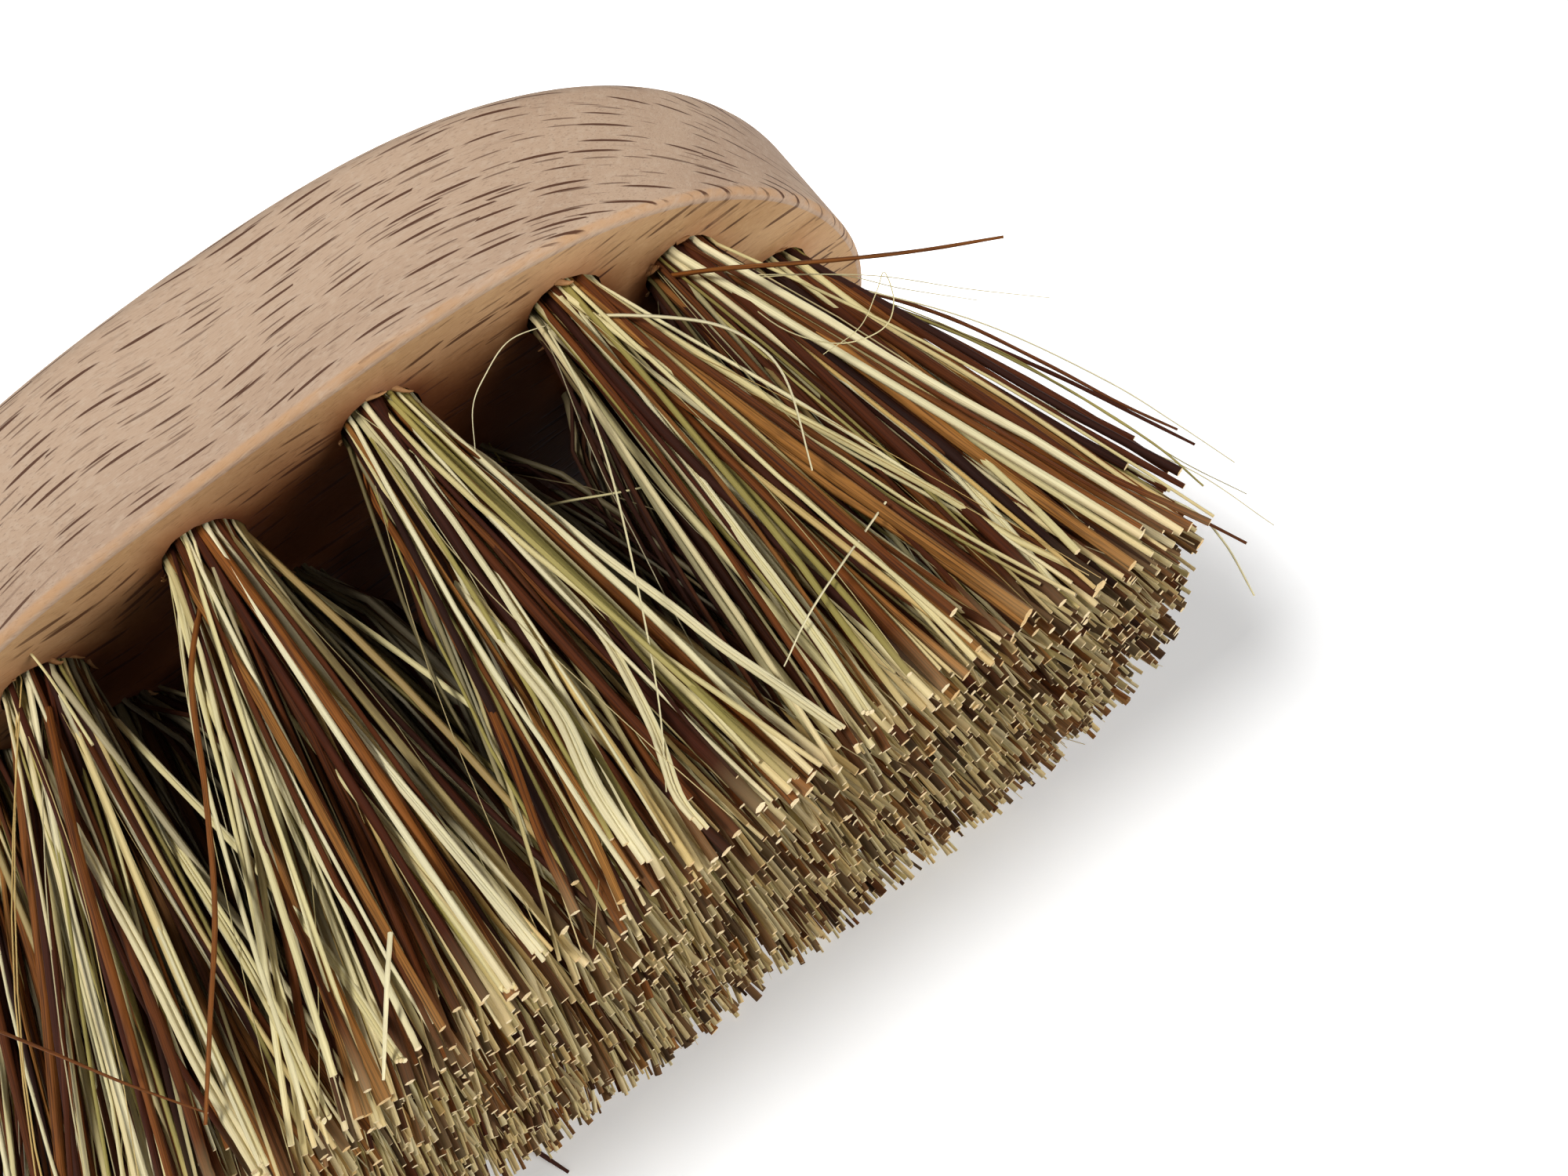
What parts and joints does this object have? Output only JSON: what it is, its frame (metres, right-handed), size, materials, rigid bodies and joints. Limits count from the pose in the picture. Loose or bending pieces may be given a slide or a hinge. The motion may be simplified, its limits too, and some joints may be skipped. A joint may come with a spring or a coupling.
{
  "type": "scrub brush",
  "caption": "Hand scrub brush: oval wooden block with an arched back, and stiff plant-fibre tufts stapled into holes drilled in its underside, trimmed flat.",
  "frame": {"origin": "middle of the flat trim of the bristles, on the surface that the brush stands on", "axes": "+X along the block, +Z from the bristle tips to the arched back"},
  "size_m": [0.0992, 0.0676, 0.0586],
  "materials": {
    "beech": "bare sanded beech",
    "fibre": "stiff mixed plant fibre, pale and brown",
    "staple_wire": "drawn wire"
  },
  "bodies": {
    "root": {"block": "beech", "staples": "staple_wire", "front_tuft_1": "fibre", "front_tuft_2": "fibre", "front_tuft_3": "fibre", "front_tuft_4": "fibre", "front_inner_tuft_1": "fibre", "front_inner_tuft_2": "fibre", "front_inner_tuft_3": "fibre", "front_inner_tuft_4": "fibre", "centre_tuft_1": "fibre", "centre_tuft_2": "fibre", "centre_tuft_3": "fibre", "centre_tuft_4": "fibre", "rear_inner_tuft_1": "fibre", "rear_inner_tuft_2": "fibre", "rear_inner_tuft_3": "fibre", "rear_inner_tuft_4": "fibre", "rear_tuft_1": "fibre", "rear_tuft_2": "fibre", "rear_tuft_3": "fibre", "rear_tuft_4": "fibre", "right_end_tuft_1": "fibre", "right_end_tuft_2": "fibre", "right_end_tuft_3": "fibre", "right_end_tuft_4": "fibre", "right_end_tuft_5": "fibre", "left_end_tuft_1": "fibre", "left_end_tuft_2": "fibre", "left_end_tuft_3": "fibre", "left_end_tuft_4": "fibre", "left_end_tuft_5": "fibre"}
  },
  "joints": []
}
